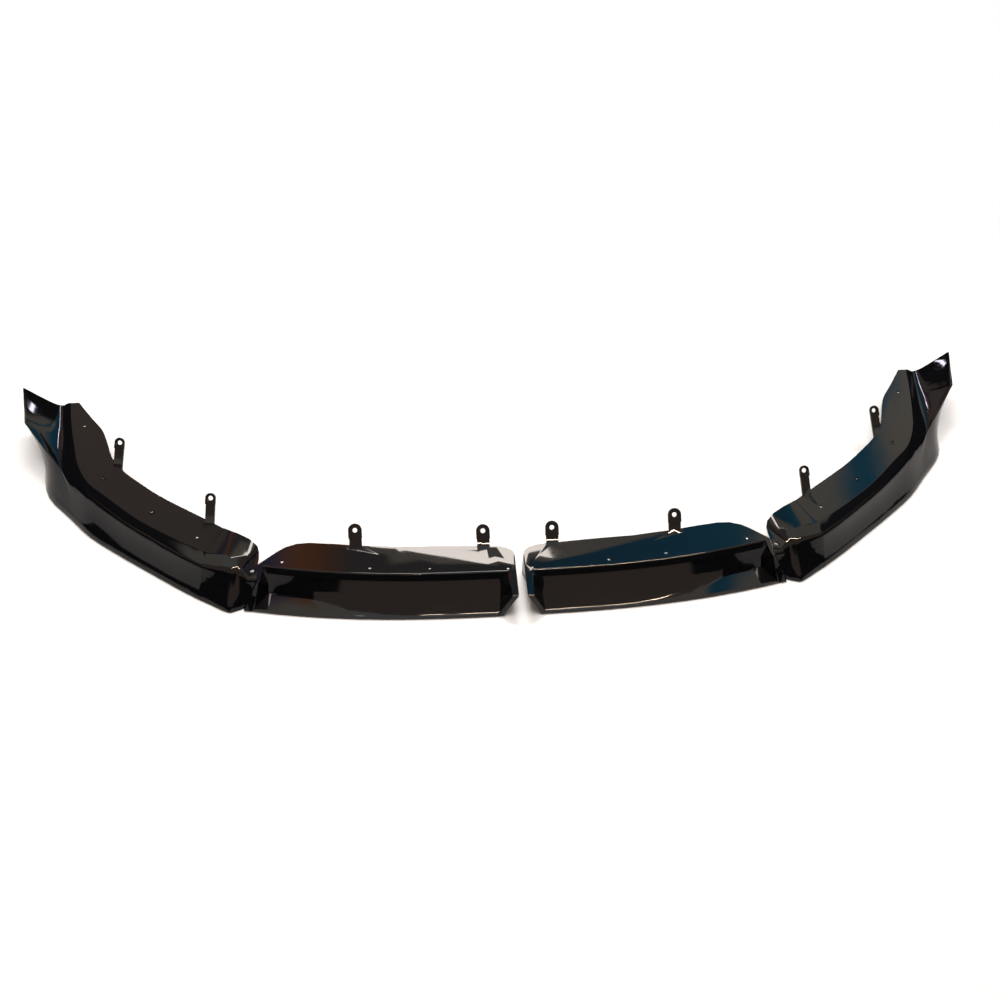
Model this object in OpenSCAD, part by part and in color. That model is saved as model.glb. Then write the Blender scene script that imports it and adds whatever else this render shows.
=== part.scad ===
/* [Overall] */
// Width over both fin tips
overall_width = 1978; // [1400:2:2400]
// Depth from the centre front edge to the rear ends
sweep_depth = 550; // [400:5:700]
// Height of the corner ledge above the bottom edge
ledge_height = 72; // [66:1:100]
// Height of the centre plate above the bottom edge
plate_height = 58; // [50:1:64]
// Height of the fin tips above the bottom edge
fin_height = 118; // [105:1:160]
// Gap between the two centre sections
centre_gap = 16; // [6:1:30]
// Clearance where a centre section meets its corner section
joint_clearance = 0.8; // [0.2:0.1:3]
// Wall thickness of every moulding
wall = 3; // [2.5:0.25:4]

/* [Centre sections] */
// Setback of the plate's front edge behind the bottom lip
scoop_setback = 62; // [54:1:72]
// Height of the bottom lip in front of the scoop
lip_height = 7; // [5:0.5:9]
// Height of the rounded fascia at the plate's front edge
fascia_height = 12; // [8:1:16]

/* [Corner sections] */
// Depth of the seat pressed into the ledge
seat_depth = 1.5; // [0.5:0.5:2.5]
// Reach of the bead along the bottom edge
bead_reach = 3; // [1.5:0.5:4]
// Hollow of the outer face between shoulder and bead
face_hollow = 3; // [0:0.5:6]

/* [Fixings] */
// Diameter of the screw holes in the plates
screw_d = 5.5; // [3:0.5:8]
// Diameter of the raised ring round the middle screw holes of a ledge
ring_d = 13; // [10:0.5:16]
// Diameter of the hole in the joint pad
pad_hole_d = 8; // [5:0.5:10]
// Diameter of the hole in a lug
lug_hole_d = 9; // [6:0.5:11]
// Diameter of the counterbore in a lug
lug_sink_d = 15; // [12:0.5:16]
// Width of a corner lug
corner_lug_w = 20; // [18:1:26]
// Length of a corner lug from its root to its hole
corner_lug_len = 48; // [36:1:60]
// Width of a centre lug
centre_lug_w = 26; // [22:1:32]
// Length of a centre lug from its root to its hole
centre_lug_len = 33; // [26:1:44]
// Lean of the lugs towards the rear, from upright
lug_lean = 46; // [20:1:60]

/* [Hidden] */
gloss_black = [0.03, 0.03, 0.032];

// Plan positions are laid out on a lip 1978 wide and 550 deep, then scaled to the size asked for
plan_width = 1978;
plan_depth = 550;
kx = overall_width / plan_width;
ky = sweep_depth / plan_depth;
y_mid = sweep_depth / 2;
function placed(p) = [p[0] * kx, p[1] * ky - y_mid, p[2]];

function mix(a, b, t) = a + (b - a) * t;
function clamp01(t) = max(0, min(1, t));
function ease(t) = let (c = clamp01(t)) c * c * (3 - 2 * c);
function unit(v) = v / max(norm(v), 0.001);
// Point at a distance d from a towards b, never past two fifths of the way
function toward(a, b, d) = a + unit(b - a) * min(d, 0.4 * norm(b - a));

// Moulded sheet between an outer and an inner grid of points
module sheet(outer, inner) {
    m = len(outer);
    n = len(outer[0]);
    points = [for (r = concat(outer, inner)) for (p = r) placed(p)];
    k = m * n;
    skins = [for (i = [0 : m - 2]) for (j = [0 : n - 2])
        let (a = i * n + j, b = a + 1, c = a + n, d = c + 1)
        each [[a, b, d], [a, d, c], [a + k, d + k, b + k], [a + k, c + k, d + k]]];
    edges = [for (i = [0 : m - 2])
        let (a = i * n, c = a + n, b = a + n - 1, d = b + n)
        each [[a, c + k, a + k], [a, c, c + k], [b, b + k, d + k], [b, d + k, d]]];
    ends = [for (j = [0 : n - 2])
        let (a = j, b = j + 1, c = (m - 1) * n + j, d = c + 1)
        each [[a, b + k, b], [a, a + k, b + k], [c, d, d + k], [c, d + k, c + k]]];
    polyhedron(points, concat(skins, edges, ends), convexity = 8);
}

// Place on a curve or on a chain of chords through the rows of a list, counted in rows
function row_at(list, k) = list[max(0, min(len(list) - 1, k))];
function blend4(p, t) = 0.5 * (2 * p[1] + (p[2] - p[0]) * t
    + (2 * p[0] - 5 * p[1] + 4 * p[2] - p[3]) * t * t
    + (3 * p[1] - 3 * p[2] + p[3] - p[0]) * t * t * t);
function along(list, s) = let (k = min(floor(s), len(list) - 2))
    blend4([for (q = [-1 : 2]) row_at(list, k + q)], s - k);
function chord(list, s) = let (k = min(floor(s), len(list) - 2))
    mix(list[k], list[k + 1], s - k);

// The two sections of one side meet on an inclined plane, at this place and run of x per height
joint_x = 490;
joint_slope = 0.54;
function joint_at(z) = joint_x + joint_slope * (plate_height - z);

// Centre section: curves of the right side, as the distance from the front against x
lip_sweep = 43;
lip_span = 512;
lip_power = 2.6;
edge_sweep = 1.15;
function lip_y(x) = lip_sweep * pow(clamp01(x / lip_span), lip_power);
function edge_y(x) = scoop_setback + edge_sweep * lip_y(x);
rear_line = [[8, 98], [11, 106], [18, 113], [30, 118], [60, 121], [150, 127], [225, 131],
    [300, 140], [350, 148], [395, 154], [422, 153], [442, 146], [458, 135], [474, 122], [490, 109]];
bend_line = [[8, 77], [60, 82], [110, 88], [256, 114], [300, 127], [365, 145]];
rear_tilt = 0.14;
function rear_y(x) = lookup(x, rear_line);
function bend_y(x) = x < 365 ? lookup(x, bend_line) : rear_y(x) - 4;
function rear_z(x) = plate_height + rear_tilt * max(0, rear_y(x) - bend_y(x) - 4);
function cheek_front(x) = lip_y(x) + mix(5, 28, clamp01((x - 300) / 190));

// The scoop in section: plate, rounded edge, fascia, sloping back, floor and lip, as [y, z]
edge_round = 3;
fascia_lean = 7;
undercut = 2.5;
lip_round = 1.4;
function slope_foot(x) = [lip_y(x) + 6 + 37 * ease((x - 200) / 275), lip_height + 1];
function slope_top(x) = [edge_y(x) - fascia_lean + undercut * ease((x - 38) / 15) * ease((472 - x) / 15),
    plate_height - fascia_height - 0.5];
function scoop_section(x) = let (l = lip_y(x), e = edge_y(x), h = plate_height) [
    [rear_y(x), rear_z(x)],
    [max(bend_y(x), e + edge_round + 1), h],
    [e + edge_round, h],
    [e + 0.8, h - 0.9],
    [e, h - edge_round],
    [e - fascia_lean, h - fascia_height],
    slope_top(x),
    mix(slope_foot(x), slope_top(x), 0.5) + [1, -1],
    slope_foot(x),
    [l + 4, lip_height],
    [l + 0.8, lip_height - 0.9],
    [l, lip_height - lip_round - 1.5],
    [l + 0.8, 0]];
// One wall behind it
function behind(a, b) = let (d = unit(b - a)) wall * [d[1], -d[0]];
function under_section(x) = let (l = lip_y(x), e = edge_y(x), top = plate_height - wall,
    a = slope_foot(x), b = slope_top(x), back = behind(a, b), low = lip_height - wall) [
    [rear_y(x), rear_z(x) - wall],
    [max(bend_y(x), e + edge_round + 1), top],
    [e + edge_round + 0.4 * wall, top],
    [e + 1.3 * wall, top - 0.2],
    [e + 1.1 * wall, top - 1.6],
    mix([e + 1.1 * wall, top - 1.6], b + back, 0.7),
    b + back,
    mix(a, b, 0.5) + [1, -1] + back,
    a + back,
    [l + wall + 1.5, low],
    [l + wall + 0.9, low - 0.2],
    [l + wall, low - 1],
    [l + wall, 0]];

// A cheek beside the scoop: flat to its front edge, then a post down to the lip
function cheek_section(x, foot_z = 0) =
    let (l = lip_y(x), e = edge_y(x), h = plate_height, f = cheek_front(x)) [
    [rear_y(x), rear_z(x)],
    [min(max(bend_y(x), e + edge_round + 1), rear_y(x) - 1), h],
    [min(e + edge_round, rear_y(x) - 2), h],
    [e + 0.8, h],
    [e, h],
    [e - fascia_lean, h],
    [e - fascia_lean - 2, h],
    [mix(e - fascia_lean - 2, f, 0.5), h],
    [f + 2, h],
    [f, h - 2],
    [mix(l, f, 0.6), h / 2],
    [l, 5],
    [l + 0.8, foot_z]];
cheek_inset = [[0, -1], [0, -1], [0, -1], [0, -1], [0, -1], [0, -1], [0, -1], [0, -1], [0.8, -1],
    [1, -0.7], [1, 0], [1, 0], [1, 0]];

// The lower inner corner is cut back, and the outer end lies in the inclined joint plane
corner_cut = 30;
corner_break = 2.5;
floor_end_wall = 2;
inner_x = centre_gap / 2 / kx;
half_joint = joint_clearance / 2 / kx;
function cut_x(z) = corner_cut * (plate_height - z) / plate_height;
inner_face_x = [for (p = cheek_section(inner_x, corner_break))
    inner_x + (p[0] > cheek_front(inner_x) + 3 ? 0 : cut_x(p[1]))];
outer_face_x = [for (p = cheek_section(joint_x, corner_break)) joint_at(p[1]) - half_joint];
// Where each point of the section lies along x at the scoop's two ends and at the cheeks' edges
inner_edge_x = [22, 22, 22, 22, 22, 22, 22, 21, 19.5, 20, 31, 43, 46];
inner_scoop_x = [22.5, 22.5, 22.5, 24, 27, 36, 38, 40, 43, 44, 45, 46, 47];
next_scoop_x = [36, 36, 36, 38, 40, 46, 47, 48, 50, 51, 51, 51, 51];
outer_scoop_x = [480, 480, 480, 479, 478, 474, 472, 474, 476, 500, 501, 502, 503];
outer_edge_x = [482, 482, 481, 481, 481, 481, 481, 483, 486, 487, 495, 504, 505];
centre_stops = [468, 458, 442, 420, 395, 372, 350, 325, 300, 260, 225, 190, 150, 105, 60];
columns = [0 : 12];
function at_x(xs) = [for (j = columns) let (p = scoop_section(xs[j])[j]) [xs[j], p[0], p[1]]];
function cheek_at(xs, foot_z = 0) = [for (j = columns) let (p = cheek_section(xs[j], foot_z)[j])
    [xs[j], p[0], p[1]]];
// Inner points of a scoop row, moved sideways where the row ends the scoop
function under_at(xs, side) = [for (j = columns) let (p = under_section(xs[j])[j])
    [xs[j] + side * (j > 7 ? floor_end_wall : j > 1 ? wall : 0), p[0], p[1]]];
// Inner points of a cheek row lie one wall towards the cheek's other row, or nearly half way
function wall_step(gap) = sign(gap) * min(wall, 0.3 * abs(gap));
function cheek_under_at(xs, others, foot_z = 0) = [for (j = columns)
    let (p = cheek_section(xs[j], foot_z)[j] + wall * cheek_inset[j])
    [xs[j] + wall_step(others[j] - xs[j]), p[0], p[1]]];
// An end wall hangs from its cheek row down to the bottom edge, from x_rear to x_front
foot_step = [0, 0, 0, 0, 0, 0, 0, 0, 1.5, 1.5, 1.5, 2.5, 0];
function end_wall(row, x_rear, x_front) = let (low = row[12][1], high = row[0][1])
    [for (j = columns) let (y = row[j][1] + foot_step[j])
        [mix(x_front, x_rear, clamp01((y - low) / (high - low))), y, 0]];

// Rows from the joint to the inner end, over the outer face and over the inner one
cheek_share = [1, 0.5, 0.2, 0];
inner_face = cheek_at(inner_face_x, corner_break);
outer_face = cheek_at(outer_face_x, corner_break);
outer_wall = end_wall(outer_face, joint_at(0) - half_joint, joint_at(0) - half_joint);
inner_wall = end_wall(inner_face, inner_x, inner_x + corner_cut);
function under_wall(face, from_x, to_x) = [for (j = columns)
    face[j] + [wall_step(to_x[j] - from_x[j]), j < 8 ? 0 : wall * cheek_inset[j][0], 0]];
centre_grid = concat(
    [outer_wall, outer_face, cheek_at(outer_edge_x), at_x(outer_scoop_x)],
    [for (x = centre_stops) at_x([for (j = columns) x])],
    [at_x(next_scoop_x), at_x(inner_scoop_x)],
    [for (t = cheek_share) cheek_at(mix(inner_face_x, inner_edge_x, t), (1 - t) * corner_break)],
    [inner_wall]);
centre_under = let (face = cheek_under_at(inner_face_x, inner_edge_x, corner_break),
    edge = cheek_under_at(inner_edge_x, inner_face_x)) concat(
    [under_wall(outer_wall, outer_face_x, outer_edge_x),
        cheek_under_at(outer_face_x, outer_edge_x, corner_break),
        cheek_under_at(outer_edge_x, outer_face_x), under_at(outer_scoop_x, 1)],
    [for (x = centre_stops) under_at([for (j = columns) x], 0)],
    [under_at(next_scoop_x, 0), under_at(inner_scoop_x, -1)],
    [for (t = cheek_share) mix(face, edge, t)],
    [under_wall(inner_wall, inner_face_x, inner_edge_x)]);

module screw_holes(places, z, d) {
    for (p = places) translate([p[0] * kx, p[1] * ky - y_mid, z - 10]) cylinder(h = 20, d = d, $fn = 32);
}

// Lug: a plate with a round top, a step below its head and a counterbored hole
lug_step = 1.5;
lug_root = 9;
sink_depth = 2;
module lug(width, reach, place, turn) {
    t = wall + 1;
    r = width / 2;
    translate([place[0] * kx, place[1] * ky - y_mid, place[2]])
    rotate([0, 0, turn]) rotate([-lug_lean, 0, 0])
    difference() {
        union() {
            translate([0, 0, reach]) rotate([90, 0, 0]) cylinder(h = t, d = width, $fn = 48);
            translate([-r, -t, reach - r - 2]) cube([width, t, r + 2]);
            translate([1 - r, lug_step - t, -lug_root]) cube([width - 2, t, reach - r + lug_root]);
        }
        translate([0, -t - 1, reach]) rotate([-90, 0, 0]) cylinder(h = t + 2, d = lug_hole_d, $fn = 32);
        translate([0, -t - 1, reach]) rotate([-90, 0, 0]) cylinder(h = sink_depth + 1, d = lug_sink_d,
            $fn = 40);
    }
}

centre_holes = [[23, 70], [170, 79], [282, 87], [446, 112]];
centre_lugs = [[308, 137, 0], [66, 117, 4.5]];
module centre_section() {
    color(gloss_black) {
        difference() {
            sheet(centre_grid, centre_under);
            screw_holes(centre_holes, plate_height, screw_d);
        }
        for (p = centre_lugs) lug(centre_lug_w, centre_lug_len, [p[0], p[1], plate_height + p[2]], 0);
    }
}

// Corner section: plan points of its rear edge, seat edge, shoulder and bottom edge, from the rear end
corner_rows = [
    [[888, 547], [905, 547], [921, 547], [968, 547]],
    [[856, 502], [897, 505], [913, 505], [965, 505]],
    [[827, 463], [887, 462], [903, 462], [959, 462]],
    [[812, 428], [874, 414], [890, 410], [950, 402]],
    [[796, 386], [859, 367], [875, 361], [932, 346]],
    [[770, 350], [832, 320], [846, 309], [880, 288]],
    [[746, 326], [791, 282], [805, 268], [834, 239]],
    [[692, 280], [733, 229], [745, 213], [767, 187]],
    [[636, 241], [678, 189], [690, 171], [711, 147]],
    [[585, 207], [622, 153], [635, 131], [653, 106]],
    [[558, 188], [583, 133], [595, 106], [609, 77]]];
corner_steps = [for (i = [0 : 3 * (len(corner_rows) - 1)]) i / 3];
// The fin stands on the first rows: its valley, its rim and how far the rim is up to the tip
fin_rows = 4;
valley_line = [[930, 547, -8], [920, 503, -8], [910, 458, -9], [901, 410, -11], [892, 362, -12]];
rim_line = [[989, 550], [983, 510], [977, 470], [935, 415], [893, 364]];
rim_rise = [1, 0.75, 0.5, 0.12, -0.26];
fillet_reach = 22;
rim_width = 6;
shoulder_drop = 5;
bead_z = 6;
return_width = 14;

function plan(p, z) = [p[0], p[1], z];
function inwards(row) = unit(plan(row[0], 0) - plan(row[3], 0));
function shoulder_of(row) = plan(row[2], ledge_height - shoulder_drop);
function foot_of(row) = plan(row[3], bead_z + 3) + inwards(row) * bead_reach;

// Outer face from the shoulder down to the bead, a little hollow between them
face_share = [0.08, 0.15, 0.22, 0.3, 0.38, 0.47, 0.56, 0.64, 0.73, 0.82, 0.92];
function face_skin(c, foot, hollow) = let (inward = unit([c[0] - foot[0], c[1] - foot[1], 0]))
    [for (f = face_share) mix(c, foot, f) + inward * hollow * 4 * f * (1 - f)];

// The same stretch where the fin grows out of it: fillet, fin face, rounded rim and flank
function bezier(a, b, c, t) = mix(mix(a, b, t), mix(b, c, t), t);
function fin_skin(s, c, foot) = let (vp = chord(valley_line, s), v = [vp[0], vp[1], ledge_height + vp[2]],
    r = plan(chord(rim_line, s), ledge_height + (fin_height - ledge_height) * chord(rim_rise, s)),
    grow = min(1, norm(r - v) / 30), q = toward(v, r, fillet_reach * grow),
    rim = mix(r, foot, 0.06 * grow)) concat(
    [for (t = [0.25, 0.5, 0.75, 1]) bezier(c, v, q, t)],
    [mix(q, r, 0.45), toward(r, v, rim_width * grow) + [0, 0, 1.5 * grow], r, rim],
    [for (f = [0.33, 0.64, 0.9]) mix(rim, foot, f)]);

// Ahead of the fin its swell fades back into the outer face
function hollow_at(s) = face_hollow * ease((s - 4) / 3);
function ledge_skin(s, c, foot) = s <= fin_rows ? fin_skin(s, c, foot)
    : let (plain = face_skin(c, foot, hollow_at(s)), w = ease(fin_rows + 1 - s),
        row = corner_rows[fin_rows], c4 = shoulder_of(row), f4 = foot_of(row),
        last_fin = fin_skin(fin_rows, c4, f4), last_face = face_skin(c4, f4, 0))
    [for (j = [0 : len(plain) - 1]) plain[j] + w * (last_fin[j] - last_face[j])];

// One cross-section from its rear edge over the shoulder and down to the return at the bottom
function cross_row(a, b, b2, c, skin, d, inward) = concat(
    [a, b, b2, toward(c, b2, 5), c + inward * 1.2 - [0, 0, 0.8]], skin,
    [plan(d, bead_z), plan(d, 0), plan(d, 0) + inward * return_width]);
function ledge_row(s) = let (row = along(corner_rows, s), b = plan(row[1], ledge_height),
    c = shoulder_of(row))
    cross_row(plan(row[0], ledge_height), b, toward(b, c, 2.5) + [0, 0, seat_depth], c,
        ledge_skin(s, c, foot_of(row)), row[3], inwards(row));

// Front end: the block past the seat, the joint pad in its cut corner and the end strip
function block_row(a, b, c, d, hollow) = let (row = [a, b, c, d])
    cross_row(a, b, mix(b, c, 0.15), c, face_skin(c, foot_of(row), hollow), d, inwards(row));
block_z = ledge_height + seat_depth;
shoulder_z = ledge_height - shoulder_drop;
pad_z = plate_height;
front_rows = [
    block_row([556, 187, block_z], [585, 131, block_z], [592, 105, shoulder_z], [606, 75], face_hollow),
    block_row([545, 181, block_z], [566, 127, block_z], [570, 99, shoulder_z], [582, 61], face_hollow),
    block_row([530, 174, block_z - 1], [548, 124, block_z], [549, 97, shoulder_z], [559, 47], 2),
    block_row([508, 161, block_z - 3], [538, 119, block_z - 2], [537, 96, shoulder_z - 1], [553, 44], 1),
    block_row([492, 145, block_z - 6], [510, 124, block_z - 4], [527, 98, shoulder_z - 2], [549, 42.5], 1),
    block_row([490, 137, pad_z + 1], [505, 118, pad_z], [521, 94, pad_z], [546, 42], 2),
    block_row([490, 126, pad_z], [500, 104, pad_z], [508, 76, pad_z - 1], [544, 42], 8)];
// The end row lies in the joint plane
end_row = [for (p = block_row([490, 118, pad_z], [490, 100, pad_z], [490, 75, pad_z - 1], [521, 50], 2))
    [joint_at(p[2]) + half_joint, p[1], p[2]]];
outer_grid = concat([for (s = corner_steps) ledge_row(s)], front_rows, [end_row]);

// Inner face: each point of the outer one is moved by shares of one wall, outwards in plan and upwards
plain_shift = [[0, -1], [0, -1], [0, -1], [-0.3, -1], [-0.7, -0.8], [-0.9, -0.6], [-0.9, -0.5], [-0.9, -0.5],
    [-0.9, -0.5], [-0.9, -0.5], [-0.9, -0.4], [-0.95, -0.4], [-0.95, -0.3],
    [-1, -0.3], [-1, -0.2], [-1, -0.1],
    [-1, 0], [-1, 1], [0, 1]];
fin_shift = [[0, -1], [0, -1], [0, -1], [-0.1, -1], [0, -1], [0, -1], [0.1, -1], [0.3, -1],
    [0.5, -0.9], [0.6, -0.9], [0.1, -2.2], [-0.9, -2.6], [-1.3, -2], [-1, -0.4], [-1, -0.2], [-1, 0],
    [-1, 0], [-1, 1], [0, 1]];
function inner_row(i) = let (row = outer_grid[i], out = unit(plan(row[17] - row[0], 0)),
    w = ease((fin_rows - i / 3) / 0.8), last = i == len(outer_grid) - 1)
    [for (j = [0 : len(row) - 1]) let (m = mix(plain_shift[j], fin_shift[j], w) * wall,
        p = row[j] + out * m[0] + [0, 0, m[1]])
        last ? [joint_at(p[2]) + half_joint, p[1], p[2]] : p];

corner_holes = [[866, 478], [805, 332], [699, 238], [606, 170]];
corner_lugs = [[780, 360, 12], [585, 203, 8]];
pad_hole = [500, 95];
ring_rise = 0.8;
module corner_section() {
    color(gloss_black) {
        difference() {
            union() {
                sheet(outer_grid, [for (i = [0 : len(outer_grid) - 1]) inner_row(i)]);
                for (k = [1, 2]) translate(placed(plan(corner_holes[k], ledge_height - wall / 2)))
                    cylinder(h = wall / 2 + ring_rise, d = ring_d, $fn = 48);
            }
            screw_holes(corner_holes, ledge_height, screw_d);
            screw_holes([pad_hole], plate_height, pad_hole_d);
        }
        for (p = corner_lugs) lug(corner_lug_w, corner_lug_len, [p[0], p[1], ledge_height], p[2]);
    }
}

module left_corner() { mirror([1, 0, 0]) corner_section(); }
module left_centre() { mirror([1, 0, 0]) centre_section(); }
module right_centre() { centre_section(); }
module right_corner() { corner_section(); }

left_corner();
left_centre();
right_centre();
right_corner();
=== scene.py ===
import math

import bpy
from mathutils import Matrix, Vector


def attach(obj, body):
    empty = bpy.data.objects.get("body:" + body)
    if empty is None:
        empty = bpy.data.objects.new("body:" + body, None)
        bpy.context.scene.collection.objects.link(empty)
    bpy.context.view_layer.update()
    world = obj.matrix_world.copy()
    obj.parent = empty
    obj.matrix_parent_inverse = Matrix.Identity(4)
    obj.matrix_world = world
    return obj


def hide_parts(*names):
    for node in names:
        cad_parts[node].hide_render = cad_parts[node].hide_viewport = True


# Front splitter lip in gloss black ABS, four mouldings, laid out on a white studio floor
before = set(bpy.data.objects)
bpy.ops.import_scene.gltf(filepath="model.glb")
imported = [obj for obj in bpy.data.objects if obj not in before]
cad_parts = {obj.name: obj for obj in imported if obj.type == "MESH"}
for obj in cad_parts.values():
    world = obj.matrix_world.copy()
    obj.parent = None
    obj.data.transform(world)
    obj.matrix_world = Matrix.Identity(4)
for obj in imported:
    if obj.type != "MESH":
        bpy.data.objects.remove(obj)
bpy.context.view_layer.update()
print("frame loaded")


def linear(hexColour):  # an sRGB hex value as the linear colour that a shader takes
    parts = [int(hexColour[i : i + 2], 16) / 255 for i in (1, 3, 5)]
    return [c / 12.92 if c <= 0.04045 else ((c + 0.055) / 1.055) ** 2.4 for c in parts] + [1]


# One node with its settings by name and its links or values by socket, where i0 is the first socket
def addNode(tree, kind, settings={}, **links):
    node = tree.nodes.new(kind)
    for name, value in settings.items():
        setattr(node, name, value)
    for name, value in links.items():
        numbered = name[0] == "i" and name[1:].isdigit()
        socket = node.inputs[int(name[1:]) if numbered else name.replace("_", " ")]
        if isinstance(value, bpy.types.NodeSocket):
            tree.links.new(value, socket)
        else:
            socket.default_value = value
    return node


def newMaterial(name):
    material = bpy.data.materials.new(name)
    material.use_nodes = True
    material.node_tree.nodes.clear()
    return material, material.node_tree


# Injection moulded ABS with a piano black finish: a deep clear gloss, nearly mirror flat.
# The mould leaves a slight waviness some 60 mm long. Fine dust lies on it in patches some 11 cm across,
# and its grains are drawn at 1.1 mm, far coarser than real ones, so that they show.
# The specular level is below the usual 0.5, because the floor that it mirrors is white.
glossBlack = {
    "colour": "#08080a",
    "ior": 1.5,
    "specular": 0.2,
    "roughness": 0.035,
    "dustRoughness": 0.11,
    "waveSize": 0.06,
    "waveDepth": 0.00012,
    "dustSize": 0.0011,
    "patchScale": 9.0,
    "cleanBelow": 0.2,
    "dustyAbove": 0.5,
}


def makeGlossBlack():
    s = glossBlack
    material, tree = newMaterial("pianoBlackAbs")
    place = addNode(tree, "ShaderNodeTexCoord").outputs["Object"]
    wave = addNode(tree, "ShaderNodeTexNoise", {}, Vector=place, Scale=1 / s["waveSize"], Detail=1.0)
    dust = addNode(tree, "ShaderNodeTexNoise", {}, Vector=place, Scale=1 / s["dustSize"], Detail=3.0, Roughness=0.6)
    patch = addNode(tree, "ShaderNodeTexNoise", {}, Vector=place, Scale=s["patchScale"], Detail=4.0, Roughness=0.6)
    grit = addNode(tree, "ShaderNodeMath", {"operation": "MULTIPLY"}, i0=dust.outputs["Fac"], i1=patch.outputs["Fac"])
    rough = addNode(tree, "ShaderNodeMapRange", {}, Value=grit.outputs[0], From_Min=s["cleanBelow"],
                    From_Max=s["dustyAbove"], To_Min=s["roughness"], To_Max=s["dustRoughness"])
    bump = addNode(tree, "ShaderNodeBump", {}, Height=wave.outputs["Fac"], Strength=1.0, Distance=s["waveDepth"])
    shader = addNode(tree, "ShaderNodeBsdfPrincipled", {}, Base_Color=linear(s["colour"]), IOR=s["ior"],
                     Specular_IOR_Level=s["specular"], Metallic=0.0, Roughness=rough.outputs["Result"],
                     Normal=bump.outputs["Normal"])
    addNode(tree, "ShaderNodeOutputMaterial", {}, Surface=shader.outputs[0])
    return material


blackPlastic = makeGlossBlack()
print("materials made")

# Each moulding is a finished copy of its solid: doubles merged, sharp edges rounded by just under 1 mm
# as they leave the mould, and the rest shaded by its angle. Sizes are in metres and angles in degrees.
mouldings = ["left_corner", "left_centre", "right_centre", "right_corner"]
moulding = {
    "mergeWithin": 0.00002,
    "flatWithin": 0.6,
    "smoothBelow": 50,
    "edgeAbove": 52,
    "edgeRadius": 0.0009,
    "edgeSegments": 2,
    "normalWeight": 50,
}


def selectOnly(piece):
    bpy.ops.object.select_all(action="DESELECT")
    piece.select_set(True)
    bpy.context.view_layer.objects.active = piece


def applyModifier(piece, kind, settings):  # adds one modifier with its settings and applies it
    selectOnly(piece)
    modifier = piece.modifiers.new(kind.lower(), kind)
    for name, value in settings.items():
        setattr(modifier, name, value)
    bpy.ops.object.modifier_apply(modifier=modifier.name)


def finishMoulding(name):
    piece = bpy.data.objects.new(name + "_moulding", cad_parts[name].data.copy())
    bpy.context.scene.collection.objects.link(piece)
    selectOnly(piece)
    bpy.ops.mesh.customdata_custom_splitnormals_clear()
    bpy.ops.object.mode_set(mode="EDIT")
    bpy.ops.mesh.select_all(action="SELECT")
    bpy.ops.mesh.mark_sharp(clear=True)
    bpy.ops.mesh.remove_doubles(threshold=moulding["mergeWithin"])
    bpy.ops.mesh.dissolve_limited(angle_limit=math.radians(moulding["flatWithin"]))
    bpy.ops.mesh.select_all(action="DESELECT")
    bpy.ops.object.mode_set(mode="OBJECT")
    applyModifier(piece, "BEVEL", {"limit_method": "ANGLE", "angle_limit": math.radians(moulding["edgeAbove"]),
                                   "width": moulding["edgeRadius"], "segments": moulding["edgeSegments"],
                                   "use_clamp_overlap": True})
    bpy.ops.object.shade_smooth_by_angle(angle=math.radians(moulding["smoothBelow"]))
    applyModifier(piece, "WEIGHTED_NORMAL", {"mode": "FACE_AREA", "weight": moulding["normalWeight"],
                                             "keep_sharp": True})
    piece.data.materials.clear()
    piece.data.materials.append(blackPlastic)
    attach(piece, "root")
    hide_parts(name)


for name in mouldings:
    finishMoulding(name)
print("mouldings finished:", len(mouldings))

# A white floor just under the object: it keeps the object's shadow and fades to plain white further out,
# between the two distances from the middle
floorLook = {"side": 14.0, "height": -0.0005, "colour": "#f0f0f0", "fadeFrom": 1.15, "fadeTo": 1.7}


def makeFloor():
    bpy.ops.object.select_all(action="DESELECT")
    bpy.ops.mesh.primitive_plane_add(size=floorLook["side"], location=(0, 0, floorLook["height"]))
    floor = bpy.context.object
    floor.name = "floor"
    bpy.ops.object.transform_apply(location=True, rotation=True, scale=True)
    material, tree = newMaterial("studioFloor")
    ray = addNode(tree, "ShaderNodeLightPath").outputs
    mirrored = addNode(tree, "ShaderNodeMath", {"operation": "MAXIMUM"},
                       i0=ray["Is Glossy Ray"], i1=ray["Is Transmission Ray"])
    seen = addNode(tree, "ShaderNodeMath", {"operation": "MAXIMUM"}, i0=ray["Is Camera Ray"], i1=mirrored.outputs[0])
    place = addNode(tree, "ShaderNodeTexCoord").outputs["Object"]
    distance = addNode(tree, "ShaderNodeVectorMath", {"operation": "LENGTH"}, i0=place).outputs["Value"]
    far = addNode(tree, "ShaderNodeMapRange", {"interpolation_type": "SMOOTHSTEP"}, Value=distance,
                  From_Min=floorLook["fadeFrom"], From_Max=floorLook["fadeTo"]).outputs[0]
    share = addNode(tree, "ShaderNodeMath", {"operation": "MULTIPLY"}, i0=seen.outputs[0], i1=far)
    paper = addNode(tree, "ShaderNodeBsdfDiffuse", {}, Color=linear(floorLook["colour"]))
    plain = addNode(tree, "ShaderNodeEmission", {}, Color=(1, 1, 1, 1), Strength=1.0)
    look = addNode(tree, "ShaderNodeMixShader", {}, i0=share.outputs[0], i1=paper.outputs[0], i2=plain.outputs[0])
    addNode(tree, "ShaderNodeOutputMaterial", {}, Surface=look.outputs[0])
    floor.data.materials.append(material)


makeFloor()

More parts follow.
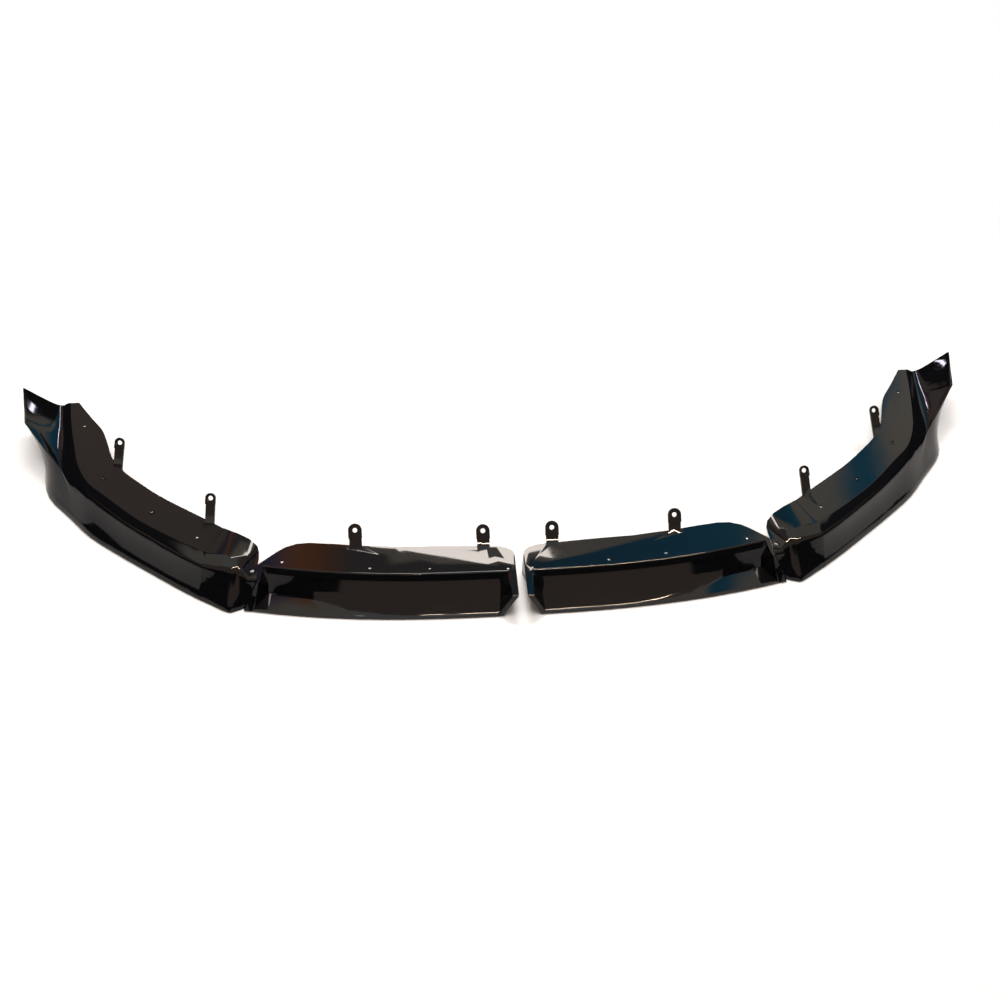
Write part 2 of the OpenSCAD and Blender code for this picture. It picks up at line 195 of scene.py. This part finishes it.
# Soft studio light: a pale ceiling overhead, where the flat faces don't mirror it and the rounded edges do,
# and dim walls that the gloss picks up. The rear wall goes from warm on the left over grey to blue-green
# and brown on the right, is brown above and dark below, and the front wall is brown above a dark foot.
# Each pair is the start and end of a fade along one axis of the direction, where 1 on Z is straight up.
studio = {
    "wallLight": 1.85,
    "wallMirrored": 4.0,
    "ceilingLight": 11.5,
    "ceilingMirrored": 2.0,
    "wallAcross": [  # from the far left, 0, to the far right, 1
        (0.0, "#1a1a1d"), (0.32, "#1a1a1d"), (0.335, "#8d7d72"), (0.40, "#93857a"), (0.412, "#4a4644"),
        (0.422, "#6a6690"), (0.434, "#c27a4a"), (0.448, "#a86a40"), (0.458, "#6f6a68"), (0.535, "#6a686a"),
        (0.56, "#1d6f90"), (0.645, "#2187ac"), (0.655, "#c0b8aa"), (0.682, "#c0b8aa"), (0.692, "#2187ac"),
        (0.699, "#2187ac"), (0.706, "#c0b8aa"), (0.73, "#c0b8aa"), (0.75, "#24242c")],
    "wallWobble": 0.05,
    "upperWall": "#c0b8aa",
    "frontWall": "#8a7a6f",
    "darkGap": "#121113",
    "gapScale": 2.6,
    "gapFade": (0.53, 0.56),
    "lowerFade": (0.57, 0.63),
    "upperFade": (0.84, 0.87),
    "ceilingFade": (0.966, 0.978),
    "frontFade": (0.42, 0.48),
    "rearToFront": (0.15, -0.1),
    # name, place, aim, width, depth, watts, colour, and whether it lights things or is only mirrored
    "lamps": [
        ("rearLamp", (-0.05, 1.0, 2.9), (0, -0.2, 0), 1.1, 0.42, 58, "#fff4ec", True),
        ("leftWindow", (-0.78, 2.1, 1.95), (0.8, 0.1, 0), 0.08, 0.5, 8, "#f0eaff", False),
        ("rightWindow", (0.78, 2.1, 1.95), (-0.8, 0.1, 0), 0.08, 0.5, 8, "#f0eaff", False),
        ("stripLamp", (0.6, -1.35, 2.9), (0.3, -0.2, 0), 2.0, 0.1, 330, "#f6dcc0", False),
    ],
}


def lightStudio():
    world = bpy.data.worlds.new("studio")
    bpy.context.scene.world = world
    world.use_nodes = True
    tree = world.node_tree
    tree.nodes.clear()
    direction = addNode(tree, "ShaderNodeTexCoord").outputs["Generated"]
    way = addNode(tree, "ShaderNodeSeparateXYZ", {}, Vector=direction).outputs

    def ramp(value, fade):
        return addNode(tree, "ShaderNodeMapRange", {"interpolation_type": "SMOOTHSTEP"}, Value=value,
                       From_Min=fade[0], From_Max=fade[1]).outputs[0]

    def blend(share, a, b):  # a and b are the colour sockets, the seventh and the eighth of a Mix node
        a, b = [linear(c) if isinstance(c, str) else c for c in (a, b)]
        return addNode(tree, "ShaderNodeMix", {"data_type": "RGBA"}, i0=share, i6=a, i7=b).outputs[2]

    # irregular dark gaps between the things in the room
    clutter = addNode(tree, "ShaderNodeTexNoise", {}, Vector=direction, Scale=studio["gapScale"],
                      Detail=3.0, Roughness=0.5).outputs["Fac"]
    across = addNode(tree, "ShaderNodeMapRange", {}, Value=way["X"], From_Min=-1.0, From_Max=1.0,
                     To_Min=-studio["wallWobble"] / 2, To_Max=1 - studio["wallWobble"] / 2)
    uneven = addNode(tree, "ShaderNodeMath", {"operation": "MULTIPLY_ADD"},
                     i0=clutter, i1=studio["wallWobble"], i2=across.outputs[0])
    walls = addNode(tree, "ShaderNodeValToRGB", {}, Fac=uneven.outputs[0])
    bands = walls.color_ramp.elements
    for k, (place, colour) in enumerate(studio["wallAcross"]):
        band = bands[k] if k < 2 else bands.new(place)  # a new ramp has two stops
        band.position, band.color = place, linear(colour)
    room = blend(ramp(clutter, studio["gapFade"]), walls.outputs["Color"], studio["darkGap"])
    room = blend(ramp(way["Z"], studio["lowerFade"]), studio["darkGap"], room)
    room = blend(ramp(way["Z"], studio["upperFade"]), room, studio["upperWall"])
    front = blend(ramp(way["Z"], studio["frontFade"]), studio["darkGap"], studio["frontWall"])
    room = blend(ramp(way["Y"], studio["rearToFront"]), room, front)
    overhead = ramp(way["Z"], studio["ceilingFade"])
    room = blend(overhead, room, "#ffffff")
    # the room as light, and as the gloss mirrors it
    light = addNode(tree, "ShaderNodeMapRange", {}, Value=overhead,
                    To_Min=studio["wallLight"], To_Max=studio["ceilingLight"])
    shine = addNode(tree, "ShaderNodeMapRange", {}, Value=overhead,
                    To_Min=studio["wallMirrored"], To_Max=studio["ceilingMirrored"])
    ray = addNode(tree, "ShaderNodeLightPath").outputs
    strength = addNode(tree, "ShaderNodeMix", {"data_type": "FLOAT"},
                       i0=ray["Is Glossy Ray"], i2=light.outputs[0], i3=shine.outputs[0])
    air = addNode(tree, "ShaderNodeBackground", {}, Color=room, Strength=strength.outputs[0])
    # the camera sees plain white past the floor, and so does anything clear
    backdrop = addNode(tree, "ShaderNodeBackground", {}, Color=(1, 1, 1, 1), Strength=1.0)
    plain = addNode(tree, "ShaderNodeMath", {"operation": "MAXIMUM"},
                    i0=ray["Is Camera Ray"], i1=ray["Is Transmission Ray"])
    around = addNode(tree, "ShaderNodeMixShader", {}, i0=plain.outputs[0], i1=air.outputs[0], i2=backdrop.outputs[0])
    addNode(tree, "ShaderNodeOutputWorld", {}, Surface=around.outputs[0])
    for name, place, aim, width, depth, watts, colour, lightsThings in studio["lamps"]:
        lamp = bpy.data.lights.new(name, "AREA")
        lamp.shape, lamp.size, lamp.size_y, lamp.energy = "RECTANGLE", width, depth, watts
        lamp.color = linear(colour)[:3]
        holder = bpy.data.objects.new(name, lamp)
        bpy.context.scene.collection.objects.link(holder)
        holder.visible_diffuse = lightsThings
        holder.location = place
        holder.rotation_euler = (Vector(aim) - Vector(place)).to_track_quat("-Z", "Y").to_euler()


lightStudio()

# The photograph's view: a 38 mm lens on a 36 mm sensor, 50 degrees down, nearly square on
view = {"place": (-0.170, -1.368, 1.653), "pitch": 50.0, "yaw": 6.24, "roll": 2.05,
        "lens": 37.8, "sensor": 36, "clipEnd": 50}


def placeCamera():
    data = bpy.data.cameras.new("camera")
    data.sensor_width, data.lens, data.clip_end = view["sensor"], view["lens"], view["clipEnd"]
    camera = bpy.data.objects.new("camera", data)
    bpy.context.scene.collection.objects.link(camera)
    turn = (Matrix.Rotation(math.radians(-view["yaw"]), 4, "Z")
            @ Matrix.Rotation(math.radians(90 - view["pitch"]), 4, "X")
            @ Matrix.Rotation(math.radians(view["roll"]), 4, "Z"))
    camera.matrix_world = Matrix.Translation(view["place"]) @ turn
    bpy.context.scene.camera = camera


placeCamera()
bpy.context.scene.view_settings.view_transform = "Standard"
print("floor, light and camera placed")
